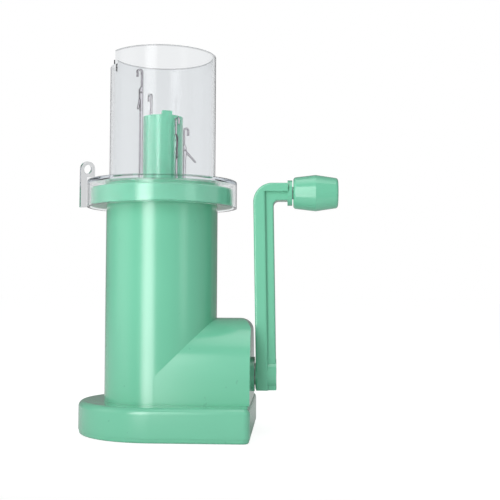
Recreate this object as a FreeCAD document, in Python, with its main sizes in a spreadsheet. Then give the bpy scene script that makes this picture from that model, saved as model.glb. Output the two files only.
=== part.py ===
import FreeCAD, Part
import math
import os
import re
import Sketcher

# Hand crank cord knitting machine. Millimetres and degrees. The origin is on the needle
# cylinder's axis in the plane that the machine stands on, +Z is up, +X points to the crank.
SIZES = {
    # Base
    "base_radius": 32.2,
    "base_end": 37.0,
    "base_corner": 2.5,
    "base_height": 12.8,
    "base_wall": 2.2,
    "base_edge": 2.2,
    "cover_thickness": 1.8,
    "cover_inset": 0.3,
    "cover_edge": 0.9,
    "cord_hole_radius": 4.4,
    "post_radius": 3.2,
    "post_left": 14.5,
    "post_left_side": 11.5,
    "post_right": 31.0,
    "post_right_side": 17.3,
    "post_height": 13.0,
    "screw_radius": 1.5,
    "screw_head_radius": 2.9,
    "screw_head_height": 1.1,
    "screw_reach": 8.0,
    # Housing
    "tube_radius": 22.2,
    "tube_wall": 2.0,
    "ring_bottom": 89.3,
    "ring_top": 96.2,
    "ring_radius": 28.5,
    "lip_radius": 23.0,
    "lip_height": 1.7,
    "ring_edge": 0.6,
    "gearbox_end": 36.4,
    "gearbox_wall": 2.0,
    "shoulder_radius": 5.0,
    "axle_height": 23.0,
    "ledge_height": 46.0,
    "ledge_width": 1.7,
    "ledge_thickness": 1.8,
    # Clear cap
    "cap_radius": 21.2,
    "cap_wall": 1.2,
    "cap_top": 150.0,
    "flange_thickness": 1.6,
    "skirt_radius": 29.9,
    "skirt_wall": 1.2,
    "skirt_bottom": 88.9,
    "skirt_edge": 0.5,
    "notch_depth": 5.2,
    "notch_front": 12.0,
    "notch_rear": 3.5,
    "eyelet_place": 188.0,
    "eyelet_turn": 253.0,
    "eyelet_width": 6.2,
    "eyelet_thickness": 1.3,
    "eyelet_center": 104.1,
    "eyelet_hole": 1.8,
    "lug_width": 1.2,
    "lug_height": 2.6,
    "lug_reach": 0.5,
    "lug_side": 1.0,
    # Needle cylinder
    "cord_bore_radius": 4.9,
    "tail_radius": 6.6,
    "bed_radius": 12.2,
    "bed_top": 97.0,
    "bed_foot": 6.0,
    "column_radius": 8.0,
    "column_top": 125.4,
    "tooth_height": 1.6,
    "tooth_width": 4.0,
    "tooth_count": 2,
    "tooth_turn": 252.0,
    "column_wall": 2.4,
    "needle_turn": 38.0,
    # Needles
    "needle_circle": 10.1,
    "needle_depth": 1.2,
    "needle_thickness": 0.9,
    "needle_tail": 3.0,
    "hook_wire": 0.7,
    "hook_radius": 1.35,
    "hook_drop": 3.2,
    "hook_neck": 6.9,
    "cheek_depth": 0.35,
    "cheek_length": 4.4,
    "butt_drop": 61.9,
    "butt_height": 2.2,
    "butt_reach": 3.0,
    "latch_drop": 9.4,
    "latch_length": 7.0,
    "latch_width": 0.8,
    "latch_thickness": 0.3,
    "latch_root": 0.5,
    "latch_slot": 0.42,
    "slot_floor": 0.3,
    "rivet_radius": 0.22,
    "rivet_offset": 0.25,
    # Hook tops as the cam leaves the needles at rest, and how far each latch hangs open
    "hook_top_one": 122.5,
    "hook_top_two": 137.0,
    "hook_top_three": 143.8,
    "hook_top_four": 124.3,
    "latch_swing_one": 50.0,
    "latch_swing_two": 10.0,
    "latch_swing_three": 10.0,
    "latch_swing_four": 8.0,
    # Cam sleeves: the track between them is a slanted plane
    "cam_middle": 70.0,
    "cam_tilt": 43.6,
    "cam_turn": 184.0,
    "cam_track": 5.0,
    "cam_top": 93.2,
    "bearing_thickness": 3.2,
    # Mitre gears
    "gear_teeth": 20,
    "gear_module": 1.6,
    "gear_face": 5.0,
    "gear_backlash": 0.14,
    "gear_back": 2.2,
    "hub_radius": 6.4,
    "gear_screw_radius": 1.2,
    "gear_screw_head": 2.0,
    "gear_screw_circle": 9.2,
    "gear_screw_head_height": 1.2,
    "gear_screw_bite": 4.0,
    "gear_bolt_length": 8.0,
    # Crank
    "shaft_square": 5.0,
    "journal_radius": 4.2,
    "bush_radius": 5.8,
    "bush_flange": 6.8,
    "bush_flange_thickness": 1.1,
    "bush_length": 8.0,
    "arm_gap": 1.7,
    "arm_lean": 0.02,
    "arm_edge": 0.7,
    "hub_step": 0.2,
    "rib_bite": 0.2,
    "arm_foot": 6.0,
    "strap_thickness": 4.7,
    "strap_width": 12.0,
    "rib_thickness": 3.2,
    "rib_width": 8.4,
    "elbow_radius": 7.5,
    "elbow_inner": 2.0,
    "bar_top": 98.6,
    "bar_strap": 3.3,
    "bar_rib": 3.5,
    "bar_end": 50.4,
    "collar_radius": 5.1,
    "collar_thickness": 1.7,
    "knob_height": 95.0,
    "knob_gap": 0.4,
    "knob_length": 17.8,
    "knob_inner_radius": 6.35,
    "knob_middle_radius": 7.25,
    "knob_outer_radius": 6.1,
    "knob_edge": 1.2,
    "knob_recess": 0.6,
    "pin_radius": 2.45,
    "pin_root": 5.0,
    "pin_head_radius": 4.2,
    "pin_head_height": 1.6,
    "arm_screw_head": 3.4,
    "arm_screw_head_height": 1.8,
    "arm_screw_length": 12.0,
    "arm_screw_radius": 1.4,
    # Fits
    "slip": 0.1,
    "running": 0.2,
    "free": 0.3,
    "pivot": 0.04,
}

# Sizes that follow from the driving ones, as formulas of the sheet.
FORMULAS = {
    "tube_bore": "tube_radius - tube_wall",
    "box_inside": "gearbox_end - gearbox_wall",
    "lip_top": "ring_top + lip_height",
    "flange_top": "lip_top + flange_thickness",
    "skirt_inside": "skirt_radius - skirt_wall",
    "cap_bore": "cap_radius - cap_wall",
    "sleeve_radius": "tube_bore - slip",
    "butt_end": "needle_circle + butt_reach",
    "needle_length": "butt_drop + butt_height / 2 + needle_tail",
    "sleeve_bore": "butt_end + free",
    "cam_floor": "cam_middle - cam_track / 2",
    "cam_roof": "cam_middle + cam_track / 2",
    "pitch_radius": "gear_teeth * gear_module / 2",
    "face_scale": "1 - gear_face * sqrt(0.5) / pitch_radius",
    "tooth_pitch_half": "pi * gear_module / 4 - gear_backlash",
    "tooth_tip_half": "0.366 * gear_module - gear_backlash",
    "tooth_root_half": "0.95 * gear_module - gear_backlash",
    "root_step": "1.25 * gear_module * sqrt(0.5)",
    "root_radius": "pitch_radius - root_step",
    "root_height": "pitch_radius + root_step",
    "gear_rear": "root_height + gear_back",
    "bed_bottom": "axle_height + gear_rear",
    "bush_seat": "cover_thickness + 0.8",
    "tail_bottom": "bush_seat + slip",
    "tail_bush_radius": "tail_radius + 2.4",
    "tail_bush_top": "base_height / 2 + 1",
    "slot_depth": "needle_circle - needle_depth / 2 - running",
    "slot_width": "needle_thickness + 2 * running",
    "arm_face": "gearbox_end + arm_gap",
    "arm_outer": "arm_face + strap_thickness + rib_thickness",
    "bar_step": "bar_top - bar_strap",
    "bar_bottom": "bar_step - bar_rib",
    "collar_end": "bar_end + collar_thickness",
    "knob_start": "collar_end + knob_gap",
    "knob_bore": "pin_radius + slip",
}

# Names of the needles, in order round the cylinder from the rear right.
NUMBERS = ("one", "two", "three", "four")

doc = FreeCAD.newDocument("CordKnitter")
sheet = doc.addObject("Spreadsheet::Sheet", "Sizes")
parts = {}


def fill_sheet():
    """Write every driving size, then the formulas, each under its own alias."""
    rows = [(name, str(size)) for name, size in SIZES.items()]
    rows += [(name, "=" + formula) for name, formula in FORMULAS.items()]
    for row, (name, text) in enumerate(rows, start=1):
        sheet.set("A%d" % row, name)
        sheet.set("B%d" % row, text)
        sheet.setAlias("B%d" % row, name)
    doc.recompute()
    return {name for name, text in rows}


ALIASES = fill_sheet()


def tied(text):
    """The expression with each size name pointed at the sheet."""
    return re.sub(r"[a-z_]+", lambda word: ("Sizes." if word[0] in ALIASES else "") + word[0], str(text))


def number(text):
    """The value of an expression of sizes now."""
    return float(sheet.evalExpression(tied(text)))


def bind(item, **sizes):
    """Tie properties of an object to expressions; two underscores stand for a dot."""
    for name, text in sizes.items():
        item.setExpression(name.replace("__", "."), tied(text))
    return item


def new_body(label):
    """An empty body that becomes the sub-part of that name."""
    body = doc.addObject("PartDesign::Body", label)
    body.Label = label
    parts[label] = body
    return body


def origin_item(body, role):
    """One of the body's own origin planes or axes."""
    return next(item for item in body.Origin.OriginFeatures if item.Role == role)


def new_sketch(body, plane, offset="0", swing="0", spin="0"):
    """A sketch on an origin plane, swung about its y axis or spun about its normal, then moved along it."""
    sketch = body.newObject("Sketcher::SketchObject", body.Label + "_sketch")
    sketch.AttachmentSupport = [(origin_item(body, plane), "")]
    sketch.MapMode = "FlatFace"
    axis, angle = (FreeCAD.Vector(0, 0, 1), spin) if swing == "0" else (FreeCAD.Vector(0, 1, 0), swing)
    if angle != "0":
        sketch.AttachmentOffset = FreeCAD.Placement(FreeCAD.Vector(), FreeCAD.Rotation(axis, number(angle)))
    return bind(sketch, AttachmentOffset__Base__x="(%s) * sin((%s) * 1 deg)" % (offset, swing),
                AttachmentOffset__Base__z="(%s) * cos((%s) * 1 deg)" % (offset, swing))


def run_geometry(start, end, bend):
    """A straight run, or an arc whose radius is the bend: left-hand if positive."""
    if not bend:
        return Part.LineSegment(start, end)
    chord = end - start
    rise = math.sqrt(max(bend * bend - chord.Length ** 2 / 4, 0.0)) * math.copysign(1, bend)
    center = (start + end) / 2 + FreeCAD.Vector(-chord.y, chord.x, 0).normalize() * rise
    first, last = (start, end) if bend > 0 else (end, start)
    angles = [math.atan2(point.y - center.y, point.x - center.x) for point in (first, last)]
    return Part.ArcOfCircle(Part.Circle(center, FreeCAD.Vector(0, 0, 1), abs(bend)), *angles)


def draw(sketch, corners):
    """A closed outline. A corner is (x, y), or (x, y, bend) where an arc leads to it."""
    spots = [FreeCAD.Vector(number(corner[0]), number(corner[1]), 0) for corner in corners]
    bends = [number(corner[2]) if len(corner) > 2 else 0 for corner in corners]
    base = sketch.GeometryCount
    count = len(corners)
    for index in range(count):
        sketch.addGeometry(run_geometry(spots[index - 1], spots[index], bends[index]))
    for index, corner in enumerate(corners):
        after = (index + 1) % count
        end, start = (1 if bends[index] < 0 else 2), (2 if bends[after] < 0 else 1)
        sketch.addConstraint(Sketcher.Constraint("Coincident", base + index, end, base + after, start))
        for kind, text, value in (("DistanceX", corner[0], spots[index].x),
                                  ("DistanceY", corner[1], spots[index].y)):
            rule = sketch.addConstraint(Sketcher.Constraint(kind, -1, 1, base + index, end, value))
            sketch.setExpression("Constraints[%d]" % rule, tied(text))
        if bends[index]:
            rule = sketch.addConstraint(Sketcher.Constraint("Radius", base + index, abs(bends[index])))
            sketch.setExpression("Constraints[%d]" % rule, tied("abs(%s)" % corner[2]))
    return sketch


def ring(sketch, radius, x="0", y="0"):
    """A circle of the sketch."""
    spot = FreeCAD.Vector(number(x), number(y), 0)
    circle = sketch.addGeometry(Part.Circle(spot, FreeCAD.Vector(0, 0, 1), number(radius)))
    for kind, text, value in (("DistanceX", x, spot.x), ("DistanceY", y, spot.y)):
        rule = sketch.addConstraint(Sketcher.Constraint(kind, -1, 1, circle, 3, value))
        sketch.setExpression("Constraints[%d]" % rule, tied(text))
    rule = sketch.addConstraint(Sketcher.Constraint("Radius", circle, number(radius)))
    sketch.setExpression("Constraints[%d]" % rule, tied(radius))
    return sketch


def rectangle(sketch, left, low, right, high):
    """A rectangle of the sketch."""
    return draw(sketch, [(left, low), (right, low), (right, high), (left, high)])


def feature(body, kind, sketch, **settings):
    """A sketch-based feature; raises if it leaves the body's volume as it was."""
    before = body.Shape.Volume if body.Tip and not body.Shape.isNull() else 0
    item = body.newObject("PartDesign::" + kind, body.Label + "_" + kind.lower())
    item.Profile = sketch
    for name, value in settings.items():
        if isinstance(value, str) and name in ("Length", "Angle"):
            bind(item, **{name: value})
        else:
            setattr(item, name, value)
    doc.recompute()
    if abs(body.Shape.Volume - before) < 1e-4:
        raise RuntimeError("%s of %s changes nothing" % (kind, body.Label))
    return item


def pad(body, sketch, length, **settings):
    """Material added along the sketch's normal."""
    return feature(body, "Pad", sketch, Length=length, **settings)


def cut(body, sketch, length=None, **settings):
    """Material taken away against the sketch's normal, right through unless a length is given."""
    if length is None:
        return feature(body, "Pocket", sketch, Type="ThroughAll", **settings)
    return feature(body, "Pocket", sketch, Length=length, **settings)


def turn(body, corners, plane="XZ_Plane"):
    """A solid of revolution about the body's Z axis from a half section (radius, height)."""
    sketch = draw(new_sketch(body, plane), corners)
    return feature(body, "Revolution", sketch, ReferenceAxis=(sketch, ["V_Axis"]))


def around(body, item, count):
    """Copies of a feature evenly round the body's Z axis."""
    pattern = body.newObject("PartDesign::PolarPattern", body.Label + "_pattern")
    pattern.Originals = [item]
    pattern.Axis = (origin_item(body, "Z_Axis"), [""])
    pattern.Angle = 360
    bind(pattern, Occurrences=count)
    body.Tip = pattern
    doc.recompute()
    return pattern


def round_edges(body, radius, chosen):
    """Round the edges of the body for which chosen(edge) is true."""
    names = ["Edge%d" % (place + 1) for place, edge in enumerate(body.Shape.Edges) if chosen(edge)]
    solid = body.Tip
    item = body.newObject("PartDesign::Fillet", body.Label + "_fillet")
    item.Base = (solid, names)
    bind(item, Radius=radius)
    body.Tip = item
    doc.recompute()
    return item


def lies_at(axis, text):
    """A test for edges that lie wholly at one height along X, Y or Z."""
    level = number(text)
    return lambda edge: all(abs(getattr(vertex.Point, axis) - level) < 1e-3 for vertex in edge.Vertexes) \
        and abs(getattr(edge.CenterOfMass, axis) - level) < 1e-3


def place(body, axis=(0, 0, 1), angle="0", **base):
    """Turn the body and move it; the moves stay tied to the sheet."""
    turned = FreeCAD.Rotation(FreeCAD.Vector(*axis), number(angle))
    body.Placement = FreeCAD.Placement(FreeCAD.Vector(), turned)
    return bind(body, **{"Placement__Base__" + name: text for name, text in base.items()})


def base_outline(inset):
    """The base's plan: half round about the tube's axis, square at the crank's end."""
    side, end, corner = ("base_radius - " + inset), ("base_end - " + inset), "base_corner"
    return [("%s - %s" % (end, corner), "-(%s)" % side),
            (end, "%s - (%s)" % (corner, side), corner),
            (end, "%s - %s" % (side, corner)),
            ("%s - %s" % (end, corner), side, corner),
            ("0", side),
            ("-(%s)" % side, "0", side),
            ("0", "-(%s)" % side, side)]


def posts(sketch, radius):
    """Circles at the four base screws."""
    for x, y in (("-post_left", "post_left_side"), ("post_right", "post_right_side")):
        ring(sketch, radius, x, y)
        ring(sketch, radius, x, "-" + y)
    return sketch


def base_plinth():
    """Hollow foot moulding with a rounded top edge, open over the gearbox, with screw posts."""
    body = new_body("base_plinth")
    pad(body, draw(new_sketch(body, "XY_Plane", "cover_thickness"), base_outline("0")),
        "base_height - cover_thickness")
    round_edges(body, "base_edge", lies_at("z", "base_height"))
    hollow = draw(new_sketch(body, "XY_Plane", "cover_thickness"), base_outline("base_wall"))
    cut(body, hollow, "base_height - base_wall - cover_thickness", Reversed=True)
    cut(body, ring(new_sketch(body, "XY_Plane", "base_height"), "tube_bore"), "base_wall")
    opening = new_sketch(body, "XY_Plane", "base_height")
    cut(body, rectangle(opening, "0", "-tube_bore", "box_inside", "tube_bore"), "base_wall")
    pad(body, posts(new_sketch(body, "XY_Plane", "cover_thickness"), "post_radius"),
        "base_height - cover_thickness")
    cut(body, posts(new_sketch(body, "XY_Plane", "base_height"), "screw_radius + slip"))


def bottom_cover():
    """Plate under the base with the cord's way out, screw seats and the cup of the tail bush."""
    body = new_body("bottom_cover")
    pad(body, draw(new_sketch(body, "XY_Plane"), base_outline("cover_inset")), "cover_thickness")
    round_edges(body, "cover_edge", lies_at("z", "0"))
    pad(body, ring(new_sketch(body, "XY_Plane", "cover_thickness"), "tail_bush_radius + slip + base_wall"),
        "tail_bush_top - cover_thickness")
    cut(body, ring(new_sketch(body, "XY_Plane", "tail_bush_top"), "tail_bush_radius + slip"),
        "tail_bush_top - cover_thickness")
    cut(body, ring(new_sketch(body, "XY_Plane", "cover_thickness"), "cord_hole_radius"))
    cut(body, posts(new_sketch(body, "XY_Plane", "cover_thickness"), "screw_radius + slip"))
    cut(body, posts(new_sketch(body, "XY_Plane"), "screw_head_radius + slip"), "screw_head_height",
        Reversed=True)


def screw_group(label, spots, head_radius, head_height, radius, low, high):
    """Upright screws with their heads down, one for each spot (x, y), as one group."""
    group = []
    for x, y in spots:
        head = doc.addObject("Part::Cylinder", "screw_head")
        bind(head, Radius=head_radius, Height=head_height)
        shank = doc.addObject("Part::Cylinder", "screw_shank")
        bind(shank, Radius=radius, Height="%s - (%s)" % (high, low))
        screw = doc.addObject("Part::MultiFuse", "screw")
        screw.Shapes = [head, shank]
        group.append(bind(screw, Placement__Base__x=x, Placement__Base__y=y, Placement__Base__z=low))
    screws = doc.addObject("Part::Compound", label)
    screws.Label = label
    screws.Links = group
    parts[label] = screws


def base_screws():
    """Four screws up through the cover and the base's posts into the housing."""
    spots = [("-post_left", "post_left_side"),
             ("-post_left", "-post_left_side"),
             ("post_right", "post_right_side"),
             ("post_right", "-post_right_side")]
    screw_group("base_screws", spots, "screw_head_radius", "screw_head_height", "screw_radius", "0",
                "base_height + screw_reach")


def arch(sketch, radius, floor):
    """The gearbox's section: square below the crank's axle and round above it."""
    return draw(sketch, [("-(%s)" % radius, floor),
                         (radius, floor),
                         (radius, "axle_height"),
                         ("0", "axle_height + " + radius, radius),
                         ("-(%s)" % radius, "axle_height", radius)])


def housing():
    """Upright tube with the gearbox branching off it, the cap's ring and the cam ledge."""
    body = new_body("main_housing")
    pad(body, ring(new_sketch(body, "XY_Plane", "base_height"), "tube_radius"), "lip_top - base_height")
    pad(body, arch(new_sketch(body, "YZ_Plane"), "tube_radius", "base_height"), "gearbox_end")
    shoulder = new_sketch(body, "XZ_Plane")
    crest = "axle_height + tube_radius"
    draw(shoulder, [("gearbox_end - shoulder_radius", crest),
                    ("gearbox_end", crest + " - shoulder_radius", "-shoulder_radius"),
                    ("gearbox_end + 1", crest + " - shoulder_radius"),
                    ("gearbox_end + 1", crest + " + 1"),
                    ("gearbox_end - shoulder_radius", crest + " + 1")])
    cut(body, shoulder, Midplane=True)
    pad(body, ring(new_sketch(body, "XY_Plane", "ring_bottom"), "ring_radius"), "ring_top - ring_bottom")
    pad(body, ring(new_sketch(body, "XY_Plane", "ring_top"), "lip_radius"), "lip_height")
    round_edges(body, "ring_edge", lambda edge: any(lies_at("z", height)(edge) for height in (
        "ring_top", "ring_bottom")) and abs(edge.BoundBox.XLength / 2 - number("ring_radius")) < 0.01)
    cut(body, ring(new_sketch(body, "XY_Plane", "lip_top"), "tube_bore"))
    cut(body, arch(new_sketch(body, "YZ_Plane", "box_inside"), "tube_bore", "base_height - 1"), "box_inside")
    ledge = ring(ring(new_sketch(body, "XY_Plane", "ledge_height - ledge_thickness"), "tube_bore + slip"),
                 "tube_bore - ledge_width")
    pad(body, ledge, "ledge_thickness")
    pad(body, posts(new_sketch(body, "XY_Plane", "base_height"), "post_radius"), "post_height")
    cut(body, posts(new_sketch(body, "XY_Plane", "base_height"), "screw_radius + slip"), "post_height - 2",
        Reversed=True)
    cut(body, ring(new_sketch(body, "YZ_Plane", "gearbox_end"), "bush_radius + slip", "0", "axle_height"),
        "gearbox_wall + 1")


def clear_cap():
    """Clear guard tube on a flange whose skirt drops over the housing's ring."""
    body = new_body("clear_cap")
    turn(body, [("cap_bore", "lip_top"),
                ("skirt_inside", "lip_top"),
                ("skirt_inside", "skirt_bottom"),
                ("skirt_radius", "skirt_bottom"),
                ("skirt_radius", "flange_top - skirt_edge"),
                ("skirt_radius - skirt_edge", "flange_top", "skirt_edge"),
                ("cap_radius", "flange_top"),
                ("cap_radius", "cap_top"),
                ("cap_bore", "cap_top")])
    notch = new_sketch(body, "YZ_Plane")
    cut(body, rectangle(notch, "-notch_front", "cap_top - notch_depth", "notch_rear", "cap_top + 1"))
    lug = new_sketch(body, "XZ_Plane", "skirt_radius + lug_reach")
    rectangle(lug, "lug_side - lug_width / 2", "flange_top - lug_height", "lug_side + lug_width / 2",
              "flange_top - skirt_edge")
    pad(body, lug, "lug_reach + skirt_wall / 2", Reversed=True)
    eyelet_plate(body)


def eyelet_plate(body):
    """Round-topped tab with the yarn's eye, standing out aslant from the skirt's side."""
    middle = "(-skirt_radius * sin((eyelet_turn - eyelet_place) * 1 deg))"
    reach = "skirt_radius * cos((eyelet_turn - eyelet_place) * 1 deg)"
    half = "eyelet_width / 2"
    plate = new_sketch(body, "YZ_Plane", reach + " - eyelet_thickness / 2", swing="eyelet_turn")
    draw(plate, [(middle + " - " + half, "skirt_bottom"),
                 (middle + " + " + half, "skirt_bottom"),
                 (middle + " + " + half, "eyelet_center"),
                 (middle, "eyelet_center + " + half, half),
                 (middle + " - " + half, "eyelet_center", half)])
    pad(body, plate, "eyelet_thickness")
    eye = new_sketch(body, "YZ_Plane", reach + " + eyelet_thickness", swing="eyelet_turn")
    cut(body, ring(eye, "eyelet_hole", middle, "eyelet_center"), "eyelet_thickness * 2")
    inside = ring(new_sketch(body, "XY_Plane", "skirt_bottom"), "skirt_inside")
    cut(body, inside, "lip_top - skirt_bottom", Reversed=True)


def cam_sleeve(label, low, high, plane_height, kind):
    """Ring cut along the slanted plane of the cam track, kept below it or above it."""
    pieces = []
    for radius in ("sleeve_radius", "sleeve_bore"):
        pieces.append(doc.addObject("Part::Cylinder", label + "_wall"))
        bind(pieces[-1], Radius=radius, Height="%s - %s" % (high, low), Placement__Base__z=low)
    blank = doc.addObject("Part::Cut", label + "_blank")
    blank.Base, blank.Tool = pieces
    cutter = doc.addObject("Part::Cylinder", label + "_plane")
    bind(cutter, Radius="3 * sleeve_radius", Height="3 * sleeve_radius")
    facing = math.radians(number("cam_turn"))
    axis = FreeCAD.Vector(math.sin(facing), -math.cos(facing), 0)
    cutter.Placement = FreeCAD.Placement(FreeCAD.Vector(), FreeCAD.Rotation(axis, number("cam_tilt")))
    bind(cutter, Placement__Base__z=plane_height)
    sleeve = doc.addObject("Part::" + kind, label)
    if kind == "Cut":
        sleeve.Base, sleeve.Tool = blank, cutter
    else:
        sleeve.Shapes = [blank, cutter]
    sleeve.Label = label
    parts[label] = sleeve


def bearings():
    """Rings that centre the needle cylinder at the deck and at its tail, and the crank's bush."""
    turn(new_body("top_bearing"), [("bed_radius + slip", "cam_top"),
                                   ("sleeve_radius", "cam_top"),
                                   ("sleeve_radius", "cam_top + bearing_thickness"),
                                   ("bed_radius + slip", "cam_top + bearing_thickness")])
    turn(new_body("tail_bush"), [("cord_hole_radius", "cover_thickness"),
                                 ("tail_bush_radius", "cover_thickness"),
                                 ("tail_bush_radius", "tail_bush_top"),
                                 ("tail_radius + slip", "tail_bush_top"),
                                 ("tail_radius + slip", "bush_seat"),
                                 ("cord_hole_radius", "bush_seat")])
    bush = new_body("axle_bush")
    turn(bush, [("journal_radius + slip", "-bush_length"),
                ("bush_radius", "-bush_length"),
                ("bush_radius", "0"),
                ("bush_flange", "0"),
                ("bush_flange", "bush_flange_thickness"),
                ("journal_radius + slip", "bush_flange_thickness")])
    place(bush, (0, 1, 0), "90", x="gearbox_end", z="axle_height")


def needle_cylinder():
    """Rotating cylinder: tail tube, slotted needle bed and the column that the cord forms on."""
    body = new_body("needle_cylinder")
    turn(body, [("cord_bore_radius", "tail_bottom"),
                ("tail_radius", "tail_bottom"),
                ("tail_radius", "bed_bottom"),
                ("bed_radius", "bed_bottom"),
                ("bed_radius", "bed_top"),
                ("column_radius", "bed_top"),
                ("column_radius", "column_top"),
                ("cord_bore_radius", "column_top")])
    slot = new_sketch(body, "XY_Plane", "bed_top")
    rectangle(slot, "slot_depth", "-slot_width / 2", "bed_radius + 1", "slot_width / 2")
    around(body, cut(body, slot, "bed_top - bed_bottom - bed_foot"), "4")
    tooth = new_sketch(body, "XY_Plane", "column_top", spin="tooth_turn")
    edge = "sqrt(column_radius ^ 2 - tooth_width ^ 2 / 4)"
    draw(tooth, [("column_radius - column_wall", "-tooth_width / 2"),
                 (edge, "-tooth_width / 2"),
                 (edge, "tooth_width / 2", "column_radius"),
                 ("column_radius - column_wall", "tooth_width / 2")])
    around(body, pad(body, tooth, "tooth_height"), "tooth_count")
    pilot = ring(new_sketch(body, "XY_Plane", "bed_bottom", spin="45"), "gear_screw_radius + slip",
                 "gear_screw_circle")
    around(body, cut(body, pilot, "gear_screw_bite + 1", Reversed=True), "4")
    place(body, angle="needle_turn")


def tooth_section(body, scale):
    """Section of a bevel tooth, square to the pitch cone, at a share of the cone's length."""
    sketch = new_sketch(body, "XY_Plane")
    tilt = FreeCAD.Rotation(FreeCAD.Vector(0, 1, 0), 45)
    sketch.AttachmentOffset = FreeCAD.Placement(FreeCAD.Vector(), tilt)
    bind(sketch, AttachmentOffset__Base__x="pitch_radius * " + scale,
         AttachmentOffset__Base__z="pitch_radius * " + scale)
    levels = [("-1.5 * gear_module", "tooth_root_half"),
              ("0", "tooth_pitch_half"),
              ("gear_module", "tooth_tip_half")]
    right = [("%s * %s" % (rise, scale), "-(%s * %s)" % (half, scale)) for rise, half in levels]
    left = [("%s * %s" % (rise, scale), "%s * %s" % (half, scale)) for rise, half in reversed(levels)]
    return draw(sketch, right + left)


def bevel_gear(label, bore, hub=()):
    """Mitre gear about its own Z axis, its cones meeting at the body's origin."""
    body = new_body(label)
    front = "root_height * face_scale"
    turn(body, [(bore, front),
                ("root_radius * face_scale", front),
                ("root_radius", "root_height"),
                ("root_radius", "gear_rear"), *hub,
                (bore, hub[-1][1] if hub else "gear_rear")])
    large, small = tooth_section(body, "1"), tooth_section(body, "face_scale")
    tooth = body.newObject("PartDesign::AdditiveLoft", label + "_tooth")
    tooth.Profile = large
    tooth.Sections = [small]
    tooth.Ruled = True
    doc.recompute()
    around(body, tooth, "gear_teeth")
    return body


def gears():
    """The crank's gear and the cylinder's gear, with the screws that hold each."""
    hub_end = "gearbox_end - bush_length - running"
    drive = bevel_gear("drive_gear", "0", [("hub_radius", "gear_rear"), ("hub_radius", hub_end)])
    half = "shaft_square / 2 + slip / 2"
    square = new_sketch(drive, "XY_Plane", hub_end)
    cut(drive, rectangle(square, "-(%s)" % half, "-(%s)" % half, half, half))
    place(drive, (1, 0, 1), "180", z="axle_height")

    driven = bevel_gear("cylinder_gear", "tail_radius + slip")
    holes = ring(new_sketch(driven, "XY_Plane", "gear_rear", spin="needle_turn + 45 - 180 / gear_teeth"),
                 "gear_screw_radius + slip", "gear_screw_circle")
    around(driven, cut(driven, holes), "4")
    place(driven, angle="180 / gear_teeth", z="axle_height")

    spots = []
    for quarter in range(4):
        angle = "(needle_turn + 45 + 90 * %d) * 1 deg" % quarter
        spots.append(("gear_screw_circle * cos(%s)" % angle, "gear_screw_circle * sin(%s)" % angle))
    head_low = "axle_height + root_height * face_scale - gear_screw_head_height"
    screw_group("gear_screws", spots, "gear_screw_head", "gear_screw_head_height", "gear_screw_radius",
                head_low, "bed_bottom + gear_screw_bite")


def crank_shaft():
    """Square shaft with a round journal for the bush, and the screw that holds the gear on it."""
    body = new_body("crank_shaft")
    inner = "root_height * face_scale"
    half = "shaft_square / 2"
    bar = new_sketch(body, "YZ_Plane", inner)
    rectangle(bar, "-" + half, "axle_height - " + half, half, "axle_height + " + half)
    pad(body, bar, "arm_face + strap_thickness - (%s)" % inner)
    journal = new_sketch(body, "YZ_Plane", "gearbox_end - bush_length")
    pad(body, ring(journal, "journal_radius", "0", "axle_height"), "bush_length + arm_gap - hub_step - slip")
    for face, depth, away in ((inner, "gear_bolt_length", True),
                              ("arm_face + strap_thickness", "arm_screw_length", False)):
        pilot = ring(new_sketch(body, "YZ_Plane", face), "arm_screw_radius + slip / 2", "0", "axle_height")
        cut(body, pilot, depth, Reversed=away)
    bolt = new_body("gear_bolt")
    turn(bolt, [("0", "-arm_screw_head_height"),
                ("arm_screw_head", "-arm_screw_head_height"),
                ("arm_screw_head", "0"),
                ("arm_screw_radius", "0"),
                ("arm_screw_radius", "gear_bolt_length - slip"),
                ("0", "gear_bolt_length - slip")])
    place(bolt, (0, 1, 0), "90", x=inner, z="axle_height")


def leaning(height, outward="0"):
    """Where the arm's inner face stands along X at a height, plus a step outward."""
    return "arm_face - arm_lean * (%s - axle_height) + %s" % (height, outward)


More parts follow.
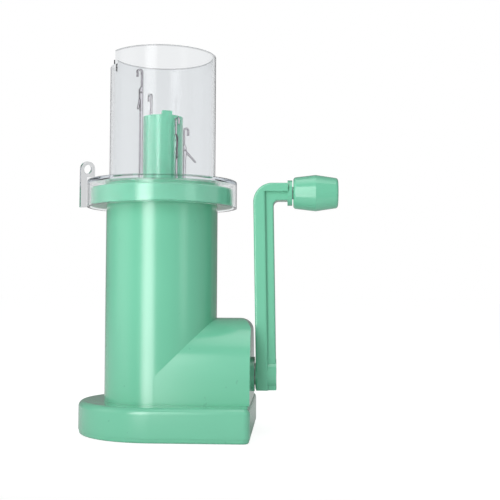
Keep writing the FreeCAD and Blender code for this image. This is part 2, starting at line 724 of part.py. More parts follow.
def crank_arm():
    """Leaning strap with a narrower rib along it, bent over into the bar that carries the knob."""
    body = new_body("crank_arm")
    foot = "(axle_height - arm_foot)"
    turn_height = "(bar_top - elbow_radius)"
    inner_height = "(bar_bottom - elbow_inner)"
    strap = draw(new_sketch(body, "XZ_Plane"), [
        (leaning(foot), foot),
        (leaning(foot, "strap_thickness"), foot),
        (leaning("bar_step", "strap_thickness"), "bar_step"),
        ("bar_end", "bar_step"),
        ("bar_end", "bar_top"),
        (leaning(turn_height, "elbow_radius"), "bar_top"),
        (leaning(turn_height), turn_height, "elbow_radius")])
    pad(body, strap, "strap_width", Midplane=True)
    both = "strap_thickness + rib_thickness"
    rib = draw(new_sketch(body, "XZ_Plane"), [
        (leaning(foot, "strap_thickness - rib_bite"), foot),
        (leaning(foot, both), foot),
        (leaning(inner_height, both), inner_height),
        (leaning(inner_height, both + " + elbow_inner"), "bar_bottom", "-elbow_inner"),
        ("bar_end", "bar_bottom"),
        ("bar_end", "bar_step + rib_bite"),
        (leaning("bar_step", "strap_thickness - rib_bite"), "bar_step + rib_bite")])
    pad(body, rib, "rib_width", Midplane=True)
    half_arm = number("(bar_bottom - axle_height) / 2")
    round_edges(body, "arm_edge", lambda edge: edge.BoundBox.ZLength > half_arm)
    hub = ring(new_sketch(body, "YZ_Plane", "arm_face - hub_step"), "strap_width / 2", "0", "axle_height")
    pad(body, hub, "strap_thickness + rib_thickness + hub_step")
    collar = ring(new_sketch(body, "YZ_Plane", "bar_end - rib_bite"), "collar_radius", "0", "knob_height")
    pad(body, collar, "collar_thickness + rib_bite")
    half = "(shaft_square / 2 + slip / 2)"
    socket = new_sketch(body, "YZ_Plane", "arm_face - hub_step")
    rectangle(socket, "-" + half, "axle_height - " + half, half, "axle_height + " + half)
    cut(body, socket, "strap_thickness + hub_step", Reversed=True)
    screw_way = ring(new_sketch(body, "YZ_Plane", "arm_outer"), "arm_screw_radius + slip", "0", "axle_height")
    cut(body, screw_way, "rib_thickness + 1")
    seat = ring(new_sketch(body, "YZ_Plane", "arm_outer"), "arm_screw_head + slip", "0", "axle_height")
    cut(body, seat, "arm_screw_head_height")
    pin_hole = ring(new_sketch(body, "YZ_Plane", "collar_end"), "pin_radius", "0", "knob_height")
    cut(body, pin_hole, "pin_root")

    screw = new_body("crank_screw")
    tip = "slip - rib_thickness - arm_screw_length"
    turn(screw, [("0", tip),
                 ("arm_screw_radius", tip),
                 ("arm_screw_radius", "-arm_screw_head_height"),
                 ("arm_screw_head", "-arm_screw_head_height"),
                 ("arm_screw_head", "-slip"),
                 ("0", "-slip")])
    place(screw, (0, 1, 0), "90", x="arm_outer", z="axle_height")


def crank_knob():
    """Barrel knob of two cones and the headed pin that it spins on."""
    knob = new_body("handle_knob")
    seat = "knob_length - pin_head_height - running - knob_recess"
    mouth = "pin_head_radius + free"
    turn(knob, [("knob_bore", "0"),
                ("knob_inner_radius - knob_edge", "0"),
                ("knob_inner_radius", "knob_edge", "knob_edge"),
                ("knob_middle_radius", "knob_length / 2"),
                ("knob_outer_radius", "knob_length - knob_edge"),
                ("knob_outer_radius - knob_edge", "knob_length", "knob_edge"),
                (mouth, "knob_length"),
                (mouth, seat),
                ("knob_bore", seat)])
    place(knob, (0, 1, 0), "90", x="knob_start", z="knob_height")
    pin = new_body("knob_pin")
    turn(pin, [("0", "-(knob_gap + pin_root)"),
               ("pin_radius", "-(knob_gap + pin_root)"),
               ("pin_radius", seat + " + running"),
               ("pin_head_radius", seat + " + running"),
               ("pin_head_radius", "knob_length - knob_recess"),
               ("0", "knob_length - knob_recess")])
    place(pin, (0, 1, 0), "90", x="knob_start", z="knob_height")


def needle(index, count):
    """Flat latch needle: stem with its butt, slotted cheeks, thin neck and outward hook."""
    body = new_body("needle_%d" % (index + 1))
    top = "hook_top_" + count
    back, front = "(needle_circle - needle_depth / 2)", "(needle_circle + needle_depth / 2)"
    hook_x, inside = "(%s + hook_radius)" % back, "(hook_radius - hook_wire)"
    cheek = front + " + cheek_depth"

    def below(drop):
        """A height measured down from the hook's top."""
        return "%s - (%s)" % (top, drop)

    outline = [(back, below("needle_length")),
               (front, below("needle_length")),
               (front, below("butt_drop + butt_height / 2")),
               ("butt_end", below("butt_drop + butt_height / 2")),
               ("butt_end", below("butt_drop - butt_height / 2")),
               (front, below("butt_drop - butt_height / 2")),
               (front, below("latch_drop + cheek_length / 2 + cheek_depth * 3")),
               (cheek, below("latch_drop + cheek_length / 2")),
               (cheek, below("latch_drop - cheek_depth * 3")),
               (back + " + hook_wire", below("hook_neck")),
               (back + " + hook_wire", below("hook_radius")),
               (hook_x, below("hook_wire"), "-" + inside),
               (hook_x + " + " + inside, below("hook_radius"), "-" + inside),
               (hook_x + " + " + inside, below("hook_drop")),
               (hook_x + " + hook_radius", below("hook_drop")),
               (hook_x + " + hook_radius", below("hook_radius")),
               (hook_x, top, "hook_radius"),
               (back, below("hook_radius"), "hook_radius")]
    pad(body, draw(new_sketch(body, "XZ_Plane"), outline), "needle_thickness", Midplane=True)
    slot = rectangle(new_sketch(body, "XZ_Plane"), back + " + slot_floor",
                     below("latch_drop + latch_length + slip"), cheek + " + slip", below("hook_neck"))
    cut(body, slot, "latch_slot", Midplane=True)
    pivot_spot = ("needle_circle + rivet_offset", below("latch_drop"))
    cut(body, ring(new_sketch(body, "XZ_Plane"), "rivet_radius", *pivot_spot), Midplane=True)
    place(body, angle="needle_turn + 90 * %d" % index)

    rivet = new_body("latch_rivet_%d" % (index + 1))
    pin = ring(new_sketch(rivet, "XZ_Plane"), "rivet_radius", *pivot_spot)
    pad(rivet, pin, "needle_thickness + slip", Midplane=True)
    place(rivet, angle="needle_turn + 90 * %d" % index)


def latch(index, count):
    """Thin swinging latch, an eye round the rivet and a round-ended blade."""
    body = new_body("latch_%d" % (index + 1))
    half = "(latch_width / 2)"
    pad(body, ring(new_sketch(body, "XZ_Plane"), "latch_root"), "latch_thickness", Midplane=True)
    blade = draw(new_sketch(body, "XZ_Plane"), [("-" + half, "0"),
                                                ("-" + half, half + " - latch_length"),
                                                ("0", "-latch_length", half),
                                                (half, half + " - latch_length", half),
                                                (half, "0")])
    pad(body, blade, "latch_thickness", Midplane=True)
    cut(body, ring(new_sketch(body, "XZ_Plane"), "rivet_radius + pivot"), Midplane=True)
    facing = "(needle_turn + 90 * %d)" % index
    spin = FreeCAD.Rotation(FreeCAD.Vector(0, 0, 1), number(facing))
    swing = FreeCAD.Rotation(FreeCAD.Vector(0, -1, 0), number("latch_swing_" + count))
    body.Placement = FreeCAD.Placement(FreeCAD.Vector(), spin * swing)
    reach = "(needle_circle + rivet_offset)"
    bind(body, Placement__Base__x="%s * cos(%s * 1 deg)" % (reach, facing),
         Placement__Base__y="%s * sin(%s * 1 deg)" % (reach, facing),
         Placement__Base__z="hook_top_%s - latch_drop" % count)


def check_and_write():
    """Stop at anything that failed, then write one file for each sub-part."""
    doc.recompute()
    failed = [item.Name for item in doc.Objects if {"Invalid", "Error"} & set(item.State)]
    failed += [name for name, item in parts.items() if item.Shape.isNull() or not item.Shape.isValid()]
    if failed:
        raise RuntimeError("failed: " + ", ".join(failed))
    os.makedirs("parts", exist_ok=True)
    for name, item in parts.items():
        item.Shape.exportStep(os.path.join("parts", name + ".step"))
        print(name, len(item.Shape.Solids), "solids", round(item.Shape.Volume, 1), "cubic mm")


base_plinth()
bottom_cover()
base_screws()
housing()
clear_cap()
cam_sleeve("lower_cam", "ledge_height", "cam_top", "cam_floor", "Cut")
cam_sleeve("upper_cam", "ledge_height", "cam_top", "cam_roof", "MultiCommon")
bearings()
needle_cylinder()
gears()
crank_shaft()
crank_arm()
crank_knob()
for order, word in enumerate(NUMBERS):
    needle(order, word)
    latch(order, word)
check_and_write()
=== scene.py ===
"""Looks, light and camera for the hand crank cord knitting machine."""

import logging
import math
from dataclasses import dataclass, field
from enum import Enum
from typing import ClassVar

import bpy
from mathutils import Matrix, Vector


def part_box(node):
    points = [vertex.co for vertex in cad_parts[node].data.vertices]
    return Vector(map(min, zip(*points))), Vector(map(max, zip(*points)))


LOG = logging.getLogger("cord_knitter")
Color = tuple[float, float, float]
Point = tuple[float, float, float]
Socket = bpy.types.NodeSocket

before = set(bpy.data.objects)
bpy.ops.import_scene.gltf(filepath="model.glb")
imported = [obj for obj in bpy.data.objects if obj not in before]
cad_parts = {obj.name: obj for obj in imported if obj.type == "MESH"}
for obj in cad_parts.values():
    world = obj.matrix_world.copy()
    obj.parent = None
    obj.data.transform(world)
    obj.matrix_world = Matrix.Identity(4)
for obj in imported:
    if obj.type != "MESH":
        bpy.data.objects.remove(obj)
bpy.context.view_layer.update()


class Port(Enum):
    """Socket kinds that the shared node groups use."""

    COLOR = "NodeSocketColor"
    VALUE = "NodeSocketFloat"


class Shape(Enum):
    """Shapes of the studio's area lights."""

    SQUARE = "SQUARE"
    PANEL = "RECTANGLE"


def rgba(color: Color) -> tuple[float, float, float, float]:
    """Give a linear colour full opacity."""
    return (*color, 1.0)


@dataclass(frozen=True)
class Noise:
    """How fine a noise field is.

    Attributes:
        scale: Waves for each metre.
        detail: Octaves of finer noise.
        stretch: Scale along each axis.
    """

    scale: float
    detail: float
    stretch: Point = (1.0, 1.0, 1.0)


@dataclass
class Graph:
    """A node tree with short ways to add and join nodes."""

    tree: bpy.types.NodeTree
    noise_middle: ClassVar[float] = 0.5

    def add(self, kind: str, label: str = "", **settings: object) -> bpy.types.Node:
        """Add a node.

        Args:
            kind: The node's type name.
            label: What the node does, for a reader of the tree.
            **settings: Properties to set on the node.

        Returns:
            The new node.
        """
        node = self.tree.nodes.new(kind)
        node.label = label
        for name, value in settings.items():
            setattr(node, name, value)
        return node

    def join(self, output: Socket, socket: Socket) -> None:
        """Link an output to an input socket."""
        self.tree.links.new(output, socket)

    def math(self, operation: str, *values: Socket | float, label: str = "",
             clamp: bool = False) -> Socket:
        """Join values by an arithmetic step.

        Args:
            operation: The step's name.
            *values: The step's inputs in order, linked or constant.
            label: What the step does.
            clamp: Whether the result stays between zero and one.

        Returns:
            The step's output.
        """
        node = self.add("ShaderNodeMath", label, operation=operation, use_clamp=clamp)
        for value, socket in zip(values, node.inputs):
            if isinstance(value, float):
                socket.default_value = value
            else:
                self.join(value, socket)
        return node.outputs[0]

    def scaled(self, color: Socket, factor: Socket, label: str) -> Socket:
        """Make a colour darker or lighter.

        Args:
            color: The colour.
            factor: What each channel is multiplied by.
            label: What the step does.

        Returns:
            The new colour.
        """
        node = self.add("ShaderNodeVectorMath", label, operation="SCALE")
        self.join(color, node.inputs[0])
        self.join(factor, node.inputs["Scale"])
        return node.outputs["Vector"]

    def place(self) -> Socket:
        """Give the place on the piece, which a pattern keeps as the piece moves."""
        return self.add("ShaderNodeTexCoord", "place on the piece").outputs["Object"]

    def noise(self, place: Socket, kind: Noise) -> Socket:
        """Add a noise field.

        Args:
            place: Where to look the noise up.
            kind: How fine it is.

        Returns:
            The noise's value output.
        """
        mapping = self.add("ShaderNodeMapping", "stretch")
        mapping.inputs["Scale"].default_value = kind.stretch
        self.join(place, mapping.inputs["Vector"])
        node = self.add("ShaderNodeTexNoise", "noise")
        node.inputs["Scale"].default_value = kind.scale
        node.inputs["Detail"].default_value = kind.detail
        self.join(mapping.outputs["Vector"], node.inputs["Vector"])
        return node.outputs["Fac"]

    def about_zero(self, noise: Socket) -> Socket:
        """Shift a noise so that it swings about zero."""
        return self.math("SUBTRACT", noise, self.noise_middle, label="about zero")


@dataclass
class Effect:
    """A shader node group that is built once and shared by the finishes."""

    name: str
    inputs: dict[str, tuple[Port, object]]
    outputs: dict[str, Port]
    graph: Graph = field(init=False)
    entry: bpy.types.Node = field(init=False)
    leave: bpy.types.Node = field(init=False)

    def __post_init__(self) -> None:
        """Make the empty group with its named sockets."""
        tree = bpy.data.node_groups.new(self.name, "ShaderNodeTree")
        for name, (port, value) in self.inputs.items():
            socket = tree.interface.new_socket(name=name, in_out="INPUT", socket_type=port.value)
            socket.default_value = value
        for name, port in self.outputs.items():
            tree.interface.new_socket(name=name, in_out="OUTPUT", socket_type=port.value)
        self.graph = Graph(tree)
        self.entry = self.graph.add("NodeGroupInput")
        self.leave = self.graph.add("NodeGroupOutput")

    def given(self, name: str) -> Socket:
        """Find what a material hands in under an input's name."""
        return self.entry.outputs[name]

    def give(self, name: str, value: Socket) -> None:
        """Hand a value out to the materials under an output's name."""
        self.graph.join(value, self.leave.inputs[name])

    def use(self, graph: Graph, **values: object) -> bpy.types.Node:
        """Put the group into a material.

        Args:
            graph: The material's tree.
            **values: Constants for the group's inputs; an underscore stands for a space.

        Returns:
            The group node.
        """
        node = graph.add("ShaderNodeGroup", self.name)
        node.node_tree = self.graph.tree
        for name, value in values.items():
            node.inputs[name.replace("_", " ")].default_value = value
        return node


@dataclass
class Effects:
    """The shared effects of this object, and how fine their patterns are."""

    cloud: Noise = Noise(38.0, 2.0)
    speck: Noise = Noise(330.0, 1.0)
    speck_level: float = 0.765
    smear: Noise = Noise(120.0, 3.0)
    grain: Noise = Noise(900.0, 2.0)
    lines: Noise = Noise(2600.0, 2.0, (1.0, 1.0, 0.04))
    line_shade: float = 0.3
    line_dark: float = 0.82
    line_roughness: float = 0.12
    edge_gain: float = 14.0
    edge_samples: int = 6
    flow: Noise = Noise(26.0, 1.0, (1.0, 1.0, 0.35))
    moulded: Effect = field(init=False)
    drawn: Effect = field(init=False)
    clear_painted_light_and_shade: Effect = field(init=False)

    def __post_init__(self) -> None:
        """Build each group once."""
        self.moulded = self._moulded()
        self.drawn = self._drawn()
        self.clear_painted_light_and_shade = self._cast_clear()

    def _moulded(self) -> Effect:
        """Cloudy colour, a few fine specks, uneven gloss and a faint grain, as on moulded plastic.

        Returns:
            The group.
        """
        effect = Effect("moulded_skin",
                        {"Color": (Port.COLOR, rgba((0.5, 0.5, 0.5))),
                         "Variation": (Port.VALUE, 0.05),
                         "Gloss": (Port.VALUE, 0.3),
                         "Unevenness": (Port.VALUE, 0.1),
                         "Speck Shade": (Port.VALUE, 0.12)},
                        {"Color": Port.COLOR, "Roughness": Port.VALUE, "Height": Port.VALUE})
        graph = effect.graph
        place = graph.place()
        cloud = graph.about_zero(graph.noise(place, self.cloud))
        cloudy = graph.math("MULTIPLY_ADD", cloud, effect.given("Variation"), 1.0,
                            label="cloudy shade")
        speck = graph.math("GREATER_THAN", graph.noise(place, self.speck), self.speck_level,
                           label="speck")
        dark = graph.math("MULTIPLY", speck, effect.given("Speck Shade"), label="dark speck")
        shade = graph.math("SUBTRACT", cloudy, dark, label="shade")
        effect.give("Color", graph.scaled(effect.given("Color"), shade, "shaded colour"))
        smear = graph.about_zero(graph.noise(place, self.smear))
        effect.give("Roughness", graph.math("MULTIPLY_ADD", smear, effect.given("Unevenness"),
                                            effect.given("Gloss"), label="uneven gloss"))
        effect.give("Height", graph.noise(place, self.grain))
        return effect

    def _drawn(self) -> Effect:
        """Fine lines along the height, as on drawn and stamped steel, and painted shade that
        darkens the edges.

        Returns:
            The group.
        """
        effect = Effect("drawn_steel_painted_edges",
                        {"Color": (Port.COLOR, rgba((0.6, 0.6, 0.6))),
                         "Gloss": (Port.VALUE, 0.25),
                         "Edge Radius": (Port.VALUE, 0.0002),
                         "Edge Shade": (Port.VALUE, 0.0)},
                        {"Color": Port.COLOR, "Roughness": Port.VALUE, "Height": Port.VALUE})
        graph = effect.graph
        lines = graph.noise(graph.place(), self.lines)
        lined = graph.math("MULTIPLY_ADD", lines, self.line_shade, self.line_dark,
                           label="line shade")
        # Painted shade: the steel's colour is made darker near each edge.
        rounded = graph.add("ShaderNodeBevel", "normal as if rounded", samples=self.edge_samples)
        graph.join(effect.given("Edge Radius"), rounded.inputs["Radius"])
        turn = graph.add("ShaderNodeVectorMath", "turn of the normal", operation="DOT_PRODUCT")
        graph.join(rounded.outputs["Normal"], turn.inputs[0])
        graph.join(graph.add("ShaderNodeNewGeometry").outputs["Normal"], turn.inputs[1])
        near = graph.math("MULTIPLY_ADD", turn.outputs["Value"], -self.edge_gain, self.edge_gain,
                          label="near an edge", clamp=True)
        dark = graph.math("MULTIPLY", near, effect.given("Edge Shade"), label="painted shade at the edge")
        bright = graph.math("SUBTRACT", 1.0, dark, label="away from the edge")
        shade = graph.math("MULTIPLY", lined, bright, label="shade")
        effect.give("Color", graph.scaled(effect.given("Color"), shade, "lined colour"))
        effect.give("Roughness", graph.math("MULTIPLY_ADD", lines, self.line_roughness,
                                            effect.given("Gloss"), label="line roughness"))
        effect.give("Height", lines)
        return effect

    def _cast_clear(self) -> Effect:
        """Slow waves as in clear plastic, a tint with painted light on the rim, and painted shade
        on lip and tab.

        Returns:
            The group.
        """
        effect = Effect("clear_painted_light_and_shade",
                        {"Color": (Port.COLOR, rgba((0.95, 0.97, 0.97))),
                         "Rim Color": (Port.COLOR, rgba((0.98, 0.98, 0.98))),
                         "Rim Height": (Port.VALUE, 0.1),
                         "Rim Radius": (Port.VALUE, 0.03),
                         "Tube Radius": (Port.VALUE, 0.022),
                         "Lip Height": (Port.VALUE, 1.0),
                         "Lip Shade": (Port.VALUE, 0.5),
                         "Tab Shade": (Port.VALUE, 0.2),
                         "Variation": (Port.VALUE, 0.02)},
                        {"Color": Port.COLOR, "Height": Port.VALUE})
        graph = effect.graph
        place = graph.place()
        upright = graph.add("ShaderNodeSeparateXYZ")
        graph.join(place, upright.inputs["Vector"])
        height = upright.outputs["Z"]
        level = graph.add("ShaderNodeVectorMath", "without the height", operation="MULTIPLY")
        level.inputs[1].default_value = (1.0, 1.0, 0.0)
        graph.join(place, level.inputs[0])
        length = graph.add("ShaderNodeVectorMath", "reach from the axis", operation="LENGTH")
        graph.join(level.outputs["Vector"], length.inputs[0])
        reach = length.outputs["Value"]

        above = graph.math("GREATER_THAN", height, effect.given("Rim Height"),
                           label="above the rim")
        past_rim = graph.math("GREATER_THAN", reach, effect.given("Rim Radius"),
                              label="past the rim")
        past_tube = graph.math("GREATER_THAN", reach, effect.given("Tube Radius"),
                               label="past the tube")
        standing = graph.math("MULTIPLY", above, past_tube, label="stands on the flange")
        tab = graph.math("MAXIMUM", past_rim, standing, label="yarn eye's tab")
        # Painted light: the rim gets a lighter tint than the tube, so that the mint ring under it
        # shows brighter.
        wall = graph.add("ShaderNodeMix", "wall or painted light rim", data_type="RGBA")
        graph.join(graph.math("MAXIMUM", above, tab, label="tinted"), wall.inputs["Factor"])
        graph.join(effect.given("Rim Color"), wall.inputs["A"])
        graph.join(effect.given("Color"), wall.inputs["B"])

        flow = graph.noise(place, self.flow)
        cloudy = graph.math("MULTIPLY_ADD", graph.about_zero(flow), effect.given("Variation"), 1.0,
                            label="cloudy tint")
        # Painted shade: the guard's lip is made darker in colour.
        lip = graph.math("GREATER_THAN", height, effect.given("Lip Height"), label="at the lip")
        lip_painted_shade = graph.math("MULTIPLY", lip, effect.given("Lip Shade"), label="painted shade on the lip")
        # Painted shade: the yarn eye's tab is made darker in colour.
        tab_painted_shade = graph.math("MULTIPLY", tab, effect.given("Tab Shade"), label="painted shade on the tab")
        dark = graph.math("ADD", lip_painted_shade, tab_painted_shade, label="all painted shade")
        shade = graph.math("SUBTRACT", cloudy, dark, label="tint")
        effect.give("Color", graph.scaled(wall.outputs["Result"], shade, "tinted colour"))
        effect.give("Height", flow)
        return effect


@dataclass(frozen=True)
class Finish:
    """What a piece's surface is made of."""

    name: str
    color: Color

    def surface(self, effects: Effects) -> bpy.types.Material:
        """Make the material.

        Args:
            effects: The shared node groups.

        Returns:
            The finished material.
        """
        material = bpy.data.materials.new(self.name)
        material.use_nodes = True
        graph = Graph(material.node_tree)
        self.shade(graph, material.node_tree.nodes["Principled BSDF"], effects)
        return material

    def shade(self, graph: Graph, skin: bpy.types.Node, effects: Effects) -> None:
        """Set the surface shader in the material's tree."""
        raise NotImplementedError

    @staticmethod
    def relief(graph: Graph, skin: bpy.types.Node, height: Socket, depth: float) -> None:
        """Feed a height into the shader's normal.

        Args:
            graph: The material's tree.
            skin: Its surface shader.
            height: The height's socket.
            depth: How deep the relief is, in metres.
        """
        bump = graph.add("ShaderNodeBump", "relief")
        bump.inputs["Strength"].default_value = 1.0
        bump.inputs["Distance"].default_value = depth
        graph.join(height, bump.inputs["Height"])
        graph.join(bump.outputs["Normal"], skin.inputs["Normal"])


@dataclass(frozen=True)
class MouldedFinish(Finish):
    """Opaque moulded plastic."""

    gloss: float = 0.3
    variation: float = 0.06
    grain_depth: float = 0.000006
    bend: float = 1.49
    coat: float = 0.0
    coat_roughness: float = 0.12

    def shade(self, graph: Graph, skin: bpy.types.Node, effects: Effects) -> None:
        """Set the plastic's shader.

        Args:
            graph: The material's tree.
            skin: Its surface shader.
            effects: The shared node groups.
        """
        group = effects.moulded.use(graph, Color=rgba(self.color), Variation=self.variation,
                                    Gloss=self.gloss)
        graph.join(group.outputs["Color"], skin.inputs["Base Color"])
        graph.join(group.outputs["Roughness"], skin.inputs["Roughness"])
        self.relief(graph, skin, group.outputs["Height"], self.grain_depth)
        skin.inputs["IOR"].default_value = self.bend
        skin.inputs["Coat Weight"].default_value = self.coat
        skin.inputs["Coat Roughness"].default_value = self.coat_roughness


@dataclass(frozen=True)
class SteelFinish(Finish):
    """Bare steel, drawn and polished."""

    gloss: float = 0.22
    edge_radius: float = 0.0002
    # How much painted shade darkens the edges.
    painted_edge_shade: float = 0.0
    line_depth: float = 0.000004

    def shade(self, graph: Graph, skin: bpy.types.Node, effects: Effects) -> None:
        """Set the steel's shader.

        Args:
            graph: The material's tree.
            skin: Its surface shader.
            effects: The shared node groups.
        """
        group = effects.drawn.use(graph, Color=rgba(self.color), Gloss=self.gloss,
                                  Edge_Radius=self.edge_radius, Edge_Shade=self.painted_edge_shade)
        graph.join(group.outputs["Color"], skin.inputs["Base Color"])
        graph.join(group.outputs["Roughness"], skin.inputs["Roughness"])
        self.relief(graph, skin, group.outputs["Height"], self.line_depth)
        skin.inputs["Metallic"].default_value = 1.0


@dataclass(frozen=True)
class ClearFinish(Finish):
    """Clear moulded plastic that the needles are seen through."""

    # A lighter tint on the rim than on the tube: painted light.
    painted_light_rim_color: Color = (0.925, 0.932, 0.936)
    rim_height: float = 0.1
    rim_radius: float = 0.03
    tube_radius: float = 0.0225
    lip_height: float = 1.0
    # Painted shade on the guard's top edge.
    painted_lip_shade: float = 0.34
    # Painted shade on the yarn eye's tab.
    painted_tab_shade: float = 0.25
    wave_depth: float = 0.00008
    depth_color: Color = (0.72, 0.76, 0.80)
    depth_density: float = 48.0
    roughness: float = 0.05
    bend: float = 1.25

    def shade(self, graph: Graph, skin: bpy.types.Node, effects: Effects) -> None:
        """Set the clear plastic's shader.

        Args:
            graph: The material's tree.
            skin: Its surface shader.
            effects: The shared node groups.
        """
        group = effects.clear_painted_light_and_shade.use(
            graph, Color=rgba(self.color), Rim_Color=rgba(self.painted_light_rim_color),
            Rim_Height=self.rim_height, Rim_Radius=self.rim_radius, Tube_Radius=self.tube_radius,
            Lip_Height=self.lip_height, Lip_Shade=self.painted_lip_shade, Tab_Shade=self.painted_tab_shade)
        graph.join(group.outputs["Color"], skin.inputs["Base Color"])
        self.relief(graph, skin, group.outputs["Height"], self.wave_depth)
        skin.inputs["Metallic"].default_value = 0.0
        skin.inputs["Transmission Weight"].default_value = 1.0
        skin.inputs["Roughness"].default_value = self.roughness
        skin.inputs["IOR"].default_value = self.bend
        depth = graph.add("ShaderNodeVolumeAbsorption", "grey along a long way through")
        depth.inputs["Color"].default_value = rgba(self.depth_color)
        depth.inputs["Density"].default_value = self.depth_density
        leave = graph.tree.nodes["Material Output"]
        graph.join(depth.outputs["Volume"], leave.inputs["Volume"])


# The guard's tint changes from the rim's lighter tint, which is painted light, to the tube's tint
# this far above the housing's top, in metres.
TINT_STEP = 0.003
# The guard's top edge gets painted shade over this height, in metres.
LIP_BAND = 0.0004

MINT = MouldedFinish("mint_plastic", (0.178, 0.590, 0.388), gloss=0.24, coat=0.8)
WHITE = MouldedFinish("white_plastic", (0.72, 0.72, 0.69), gloss=0.42)
# The guard carries painted light on its rim and painted shade on its lip and tab.
CLEAR = ClearFinish("clear_plastic", (0.878, 0.891, 0.901),
                    rim_height=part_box("main_housing")[1].z + TINT_STEP,
                    lip_height=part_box("clear_cap")[1].z - LIP_BAND)
# The needles get painted shade along their edges.
NEEDLE_STEEL = SteelFinish("needle_steel", (0.88, 0.84, 0.88), gloss=0.08,
                           edge_radius=0.0006, painted_edge_shade=0.92)
PLATED_STEEL = SteelFinish("plated_steel", (0.48, 0.48, 0.49), gloss=0.3)


@dataclass
class SubAssembly:
    """CAD nodes that belong together, and the finish of each."""

    materials: ClassVar[dict[Finish, bpy.types.Material]] = {}

    def finishes(self) -> dict[str, Finish]:
        """Choose a finish for each CAD node."""
        raise NotImplementedError

    def build(self) -> None:
        """Prepare the CAD nodes' meshes for the light; most sub-assemblies need nothing."""

    def dress(self, effects: Effects) -> None:
        """Give each CAD node its finish.

        Args:
            effects: The shared node groups.
        """
        for node, finish in self.finishes().items():
            if finish not in self.materials:
                self.materials[finish] = finish.surface(effects)
            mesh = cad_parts[node].data
            mesh.materials.clear()
            mesh.materials.append(self.materials[finish])
            LOG.info("%s: %s in %s", type(self).__name__, node, finish.name)


@dataclass
class Housing(SubAssembly):
    """Base, cover, upright tube and the bearings and cams inside it."""

    shells: tuple[str, ...] = ("base_plinth", "bottom_cover", "main_housing", "axle_bush")
    inside: tuple[str, ...] = ("lower_cam", "upper_cam", "top_bearing", "tail_bush")

    def finishes(self) -> dict[str, Finish]:
        """Choose mint shells, white inner pieces and plated screws."""
        plastic = {name: MINT for name in self.shells} | {name: WHITE for name in self.inside}
        return plastic | {"base_screws": PLATED_STEEL}


@dataclass
class Guard(SubAssembly):
    """Clear guard tube with its flange, skirt and yarn eye."""

    seat_gap: float = 0.00003

    def finishes(self) -> dict[str, Finish]:
        """Choose clear plastic."""
        return {"clear_cap": CLEAR}

    def build(self) -> None:
        """Lift the guard's skin off the housing's lip by a hair, so that light passes there."""
        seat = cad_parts["clear_cap"].modifiers.new("seat_gap", "DISPLACE")
        seat.strength = -self.seat_gap
        seat.mid_level = 0.0


@dataclass
class Crank(SubAssembly):
    """Arm, shaft, gear, knob and their screws."""

    steel: tuple[str, ...] = ("crank_shaft", "gear_bolt", "crank_screw", "knob_pin")

    def finishes(self) -> dict[str, Finish]:
        """Choose a mint arm and knob, a white gear and plated steel."""
        plastic = {"crank_arm": MINT, "handle_knob": MINT, "drive_gear": WHITE}
        return plastic | {name: PLATED_STEEL for name in self.steel}


@dataclass
class NeedleBed(SubAssembly):
    """Turning cylinder with its gear, needles, rivets and latches."""

    needles: int = 4
    needle_pieces: tuple[str, ...] = ("needle", "latch", "latch_rivet")

    def finishes(self) -> dict[str, Finish]:
        """Choose a mint cylinder, a white gear, plated screws and needle steel.

        Returns:
            The finish of each CAD node.
        """
        chosen = {"needle_cylinder": MINT, "cylinder_gear": WHITE, "gear_screws": PLATED_STEEL}
        for number in range(1, self.needles + 1):
            for kind in self.needle_pieces:
                chosen[f"{kind}_{number}"] = NEEDLE_STEEL
        return chosen


@dataclass(frozen=True)
class Lamp:
    """One soft light of the studio."""

    name: str
    place: Point
    target: Point
    size: tuple[float, float]
    watts: float
    shape: Shape = Shape.PANEL
    # A hill of height x times (1 - x) has a mean of one sixth.
    hill_gain: ClassVar[float] = 6.0

    def build(self) -> None:
        """Add the light to the scene."""
        light = bpy.data.lights.new(self.name, "AREA")
        light.shape = self.shape.value
        light.size, light.size_y = self.size
        light.energy = self.watts
        self._soften(light)
        holder = bpy.data.objects.new(self.name, light)
        holder.location = self.place
        aim = Vector(self.target) - Vector(self.place)
        holder.rotation_euler = aim.to_track_quat("-Z", "Y").to_euler()
        bpy.context.scene.collection.objects.link(holder)

    def _soften(self, light: bpy.types.Light) -> None:
        """Let the panel fade towards its two long edges, so that its mirror image has no border.

        Args:
            light: The area light.
        """
        light.use_nodes = True
        graph = Graph(light.node_tree)
        panel = graph.add("ShaderNodeNewGeometry", "place on the panel")
        across = graph.add("ShaderNodeSeparateXYZ")
        graph.join(panel.outputs["Parametric"], across.inputs["Vector"])
        rest = graph.math("SUBTRACT", 1.0, across.outputs["X"], label="from the far edge")
        hill = graph.math("MULTIPLY", across.outputs["X"], rest, label="hill")
        fade = graph.math("MULTIPLY", hill, self.hill_gain, label="same light in all")
        graph.join(fade, graph.tree.nodes["Emission"].inputs["Strength"])


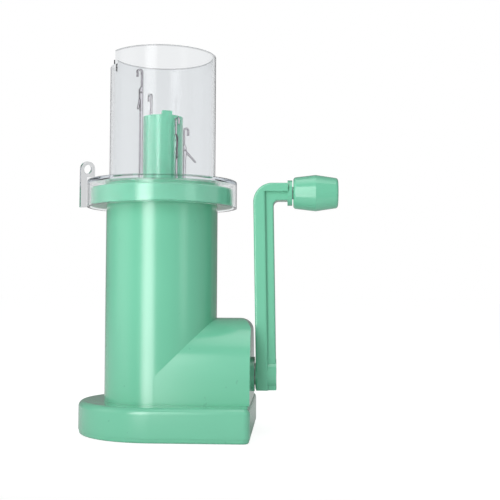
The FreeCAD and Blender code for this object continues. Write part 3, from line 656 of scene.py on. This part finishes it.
@dataclass
class Studio:
    """Pale floor, white surround, soft lights and the camera."""

    lamps: tuple[Lamp, ...] = (
        Lamp("key", (-0.31, -0.85, 0.14), (0.0, 0.0, 0.08), (0.50, 1.30), 7.4),
        Lamp("side", (-0.95, -0.25, 0.35), (0.0, 0.0, 0.07), (1.00, 0.90), 1.3),
        Lamp("fill", (0.75, -0.60, 0.30), (0.02, 0.0, 0.07), (0.40, 0.60), 0.5),
        Lamp("top", (0.05, -0.10, 0.85), (0.0, 0.0, 0.05), (0.60, 0.60), 1.1, Shape.SQUARE),
    )
    white: Color = (1.0, 1.0, 1.0)
    surround: float = 0.36
    mirrored: float = 0.25
    floor_color: Color = (0.82, 0.82, 0.82)
    floor_size: float = 6.0
    floor_front: float = -0.12
    floor_height: float = -0.0002
    floor_glow: float = 1.47
    floor_white: float = 0.6
    camera_place: Point = (0.0524, -0.3848, 0.0558)
    camera_aim: Point = (-0.0443, 0.9981, 0.0426)
    camera_roll: float = 0.308
    camera_near: float = 0.01
    sensor: float = 36.0
    lens: float = 69.54

    def build(self) -> None:
        """Set up the whole studio."""
        self._surround()
        self._floor()
        for lamp in self.lamps:
            lamp.build()
        self._camera()
        bpy.context.scene.view_settings.view_transform = "Standard"
        LOG.info("studio built with %d lamps", len(self.lamps))

    @staticmethod
    def _seen_directly(graph: Graph) -> Socket:
        """Tell rays from the camera, also through clear plastic, from the rest.

        Args:
            graph: The tree of the surround or the floor.

        Returns:
            A socket that is one for those rays.
        """
        path = graph.add("ShaderNodeLightPath")
        return graph.math("MAXIMUM", path.outputs["Is Camera Ray"],
                          path.outputs["Is Transmission Ray"], label="seen directly")

    def _surround(self) -> None:
        """White where it is seen, dimmer where it only lights or mirrors."""
        world = bpy.data.worlds.new("surround")
        bpy.context.scene.world = world
        world.use_nodes = True
        graph = Graph(world.node_tree)
        world.node_tree.nodes.clear()
        path = graph.add("ShaderNodeLightPath")
        level = graph.add("ShaderNodeMix", "mirrored or lighting", data_type="FLOAT")
        level.inputs["A"].default_value = self.surround
        level.inputs["B"].default_value = self.mirrored
        graph.join(path.outputs["Is Glossy Ray"], level.inputs["Factor"])
        seen = graph.add("ShaderNodeMix", "seen or not", data_type="FLOAT")
        seen.inputs["B"].default_value = 1.0
        graph.join(self._seen_directly(graph), seen.inputs["Factor"])
        graph.join(level.outputs["Result"], seen.inputs["A"])
        sky = graph.add("ShaderNodeBackground", "surround")
        sky.inputs["Color"].default_value = rgba(self.white)
        graph.join(seen.outputs["Result"], sky.inputs["Strength"])
        leave = graph.add("ShaderNodeOutputWorld")
        graph.join(sky.outputs["Background"], leave.inputs["Surface"])

    def _floor(self) -> None:
        """A wide pale table top that looks white and still takes a faint shadow."""
        middle = (0.0, self.floor_front + self.floor_size / 2, self.floor_height)
        bpy.ops.mesh.primitive_plane_add(size=self.floor_size, location=middle)
        floor = bpy.context.object
        floor.name = "floor"
        material = bpy.data.materials.new("pale_floor")
        material.use_nodes = True
        graph = Graph(material.node_tree)
        material.node_tree.nodes.clear()
        matte = graph.add("ShaderNodeBsdfDiffuse", "pale floor")
        matte.inputs["Color"].default_value = rgba(self.floor_color)
        glow = graph.add("ShaderNodeEmission", "white paper")
        glow.inputs["Strength"].default_value = self.floor_glow
        mix = graph.add("ShaderNodeMixShader")
        share = graph.math("MULTIPLY", self._seen_directly(graph), self.floor_white,
                           label="share of white")
        graph.join(share, mix.inputs["Fac"])
        graph.join(matte.outputs["BSDF"], mix.inputs[1])
        graph.join(glow.outputs["Emission"], mix.inputs[2])
        leave = graph.add("ShaderNodeOutputMaterial")
        graph.join(mix.outputs["Shader"], leave.inputs["Surface"])
        floor.data.materials.append(material)

    def _camera(self) -> None:
        """The camera as fitted to the photograph."""
        data = bpy.data.cameras.new("camera")
        data.sensor_width = self.sensor
        data.lens = self.lens
        data.clip_start = self.camera_near
        holder = bpy.data.objects.new("camera", data)
        turned = Vector(self.camera_aim).to_track_quat("-Z", "Y").to_matrix().to_4x4()
        roll = Matrix.Rotation(math.radians(self.camera_roll), 4, "Z")
        holder.matrix_world = Matrix.Translation(self.camera_place) @ turned @ roll
        bpy.context.scene.collection.objects.link(holder)
        bpy.context.scene.camera = holder


def main() -> None:
    """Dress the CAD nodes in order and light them."""
    logging.basicConfig(level=logging.INFO, format="%(name)s: %(message)s")
    effects = Effects()
    for assembly in (Housing(), Guard(), Crank(), NeedleBed()):
        assembly.build()
        assembly.dress(effects)
    Studio().build()


if __name__ == "__main__":
    main()
